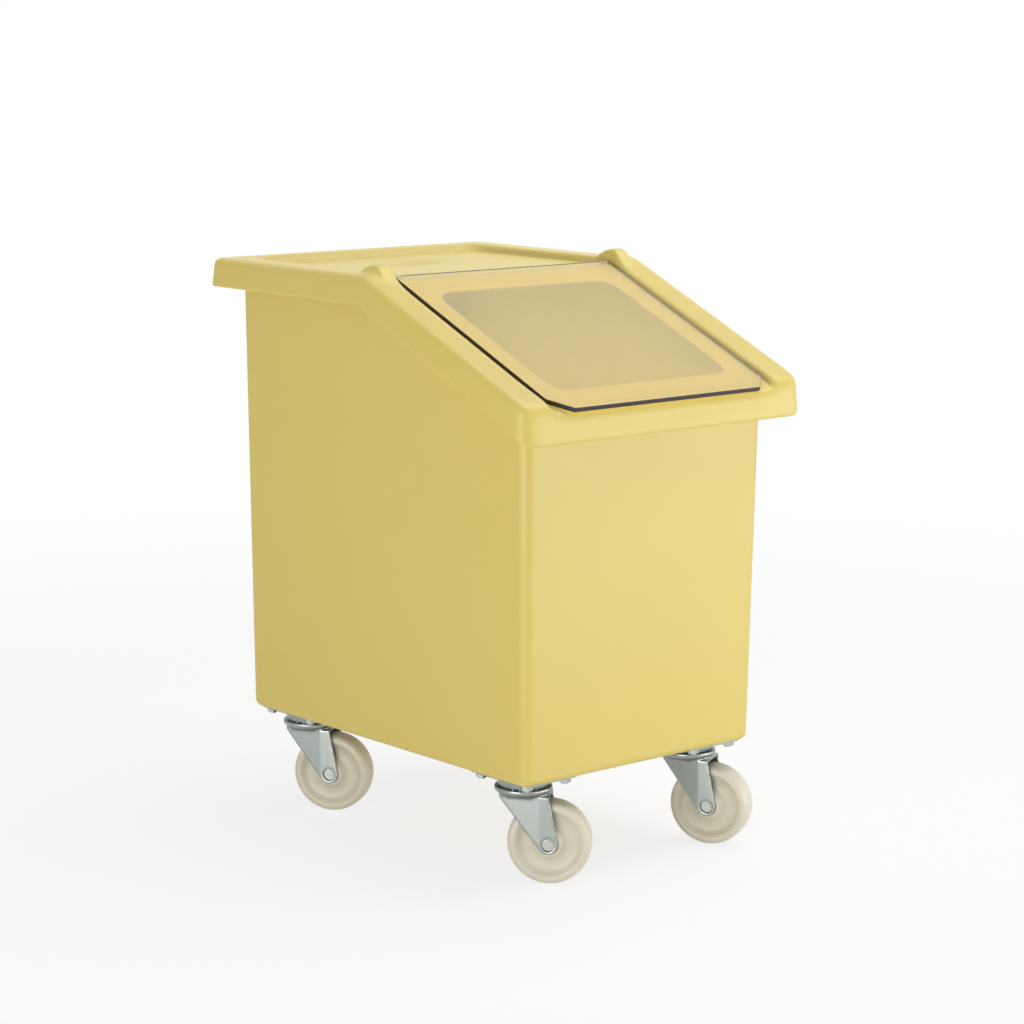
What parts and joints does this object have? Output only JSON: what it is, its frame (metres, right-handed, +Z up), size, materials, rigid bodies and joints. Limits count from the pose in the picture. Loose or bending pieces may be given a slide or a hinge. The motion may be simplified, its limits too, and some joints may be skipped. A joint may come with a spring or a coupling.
{
  "type": "rolling flour bin",
  "caption": "Mobile ingredient bin: a square-cornered yellow tub on swivel castors, with a lift-off sloping cover and a clear flap hinged across it.",
  "frame": {"origin": "on the ground, under the middle of the cover's plan", "axes": "+Z up, -Y towards the front, where the flap opens, +X to the right seen from the front"},
  "size_m": [0.454, 0.6069, 0.7186],
  "materials": {
    "yellow_polyethylene": "satin moulded",
    "smoky_acrylic": "polished, faintly smoky",
    "zinc_plate": "bright zinc plated",
    "steel": "turned",
    "white_nylon": "smooth moulded"
  },
  "bodies": {
    "bin": {"tub": "yellow_polyethylene", "castor_bolts": "steel", "castor_washers": "steel", "castor_nuts": "zinc_plate", "front_left_plate": "zinc_plate", "front_right_plate": "zinc_plate", "rear_left_plate": "zinc_plate", "rear_right_plate": "zinc_plate", "front_left_king_pin": "steel", "front_right_king_pin": "steel", "rear_left_king_pin": "steel", "rear_right_king_pin": "steel"},
    "cover": {"cover": "yellow_polyethylene"},
    "flap": {"flap": "smoky_acrylic", "left_hinge_pin": "steel", "right_hinge_pin": "steel"},
    "front_left_swivel": {"front_left_fork": "zinc_plate", "front_left_balls": "steel", "front_left_race_washer": "steel", "front_left_axle": "steel", "front_left_sleeve": "steel"},
    "front_left_wheel": {"front_left_wheel": "white_nylon"},
    "front_right_swivel": {"front_right_fork": "zinc_plate", "front_right_balls": "steel", "front_right_race_washer": "steel", "front_right_axle": "steel", "front_right_sleeve": "steel"},
    "front_right_wheel": {"front_right_wheel": "white_nylon"},
    "rear_left_swivel": {"rear_left_fork": "zinc_plate", "rear_left_balls": "steel", "rear_left_race_washer": "steel", "rear_left_axle": "steel", "rear_left_sleeve": "steel"},
    "rear_left_wheel": {"rear_left_wheel": "white_nylon"},
    "rear_right_swivel": {"rear_right_fork": "zinc_plate", "rear_right_balls": "steel", "rear_right_race_washer": "steel", "rear_right_axle": "steel", "rear_right_sleeve": "steel"},
    "rear_right_wheel": {"rear_right_wheel": "white_nylon"}
  },
  "joints": [
    {"name": "cover_lift", "type": "slide", "parent": "bin", "child": "cover", "axis": [0, 0, 1], "range_m": [0, 0.25]},
    {"name": "flap_hinge", "type": "hinge", "parent": "cover", "child": "flap", "pos_m": [0, -0.00672, 0.7008], "axis": [-1, 0, 0], "range_deg": [0, 201]},
    {"name": "front_left_swivel", "type": "hinge", "parent": "bin", "child": "front_left_swivel", "pos_m": [-0.135, -0.2035, 0.115], "axis": [0, 0, 1], "continuous": true},
    {"name": "front_left_roll", "type": "hinge", "parent": "front_left_swivel", "child": "front_left_wheel", "pos_m": [-0.11359, -0.22728, 0.05], "axis": [0.7431, 0.6691, 0], "continuous": true},
    {"name": "front_right_swivel", "type": "hinge", "parent": "bin", "child": "front_right_swivel", "pos_m": [0.135, -0.2035, 0.115], "axis": [0, 0, 1], "continuous": true},
    {"name": "front_right_roll", "type": "hinge", "parent": "front_right_swivel", "child": "front_right_wheel", "pos_m": [0.15002, -0.23175, 0.05], "axis": [0.8829, 0.4695, 0], "continuous": true},
    {"name": "rear_left_swivel", "type": "hinge", "parent": "bin", "child": "rear_left_swivel", "pos_m": [-0.135, 0.2125, 0.115], "axis": [0, 0, 1], "continuous": true},
    {"name": "rear_left_roll", "type": "hinge", "parent": "rear_left_swivel", "child": "rear_left_wheel", "pos_m": [-0.11711, 0.18597, 0.05], "axis": [0.829, 0.5592, 0], "continuous": true},
    {"name": "rear_right_swivel", "type": "hinge", "parent": "bin", "child": "rear_right_swivel", "pos_m": [0.135, 0.2125, 0.115], "axis": [0, 0, 1], "continuous": true},
    {"name": "rear_right_roll", "type": "hinge", "parent": "rear_right_swivel", "child": "rear_right_wheel", "pos_m": [0.1547, 0.18728, 0.05], "axis": [0.788, 0.6157, 0], "continuous": true}
  ]
}
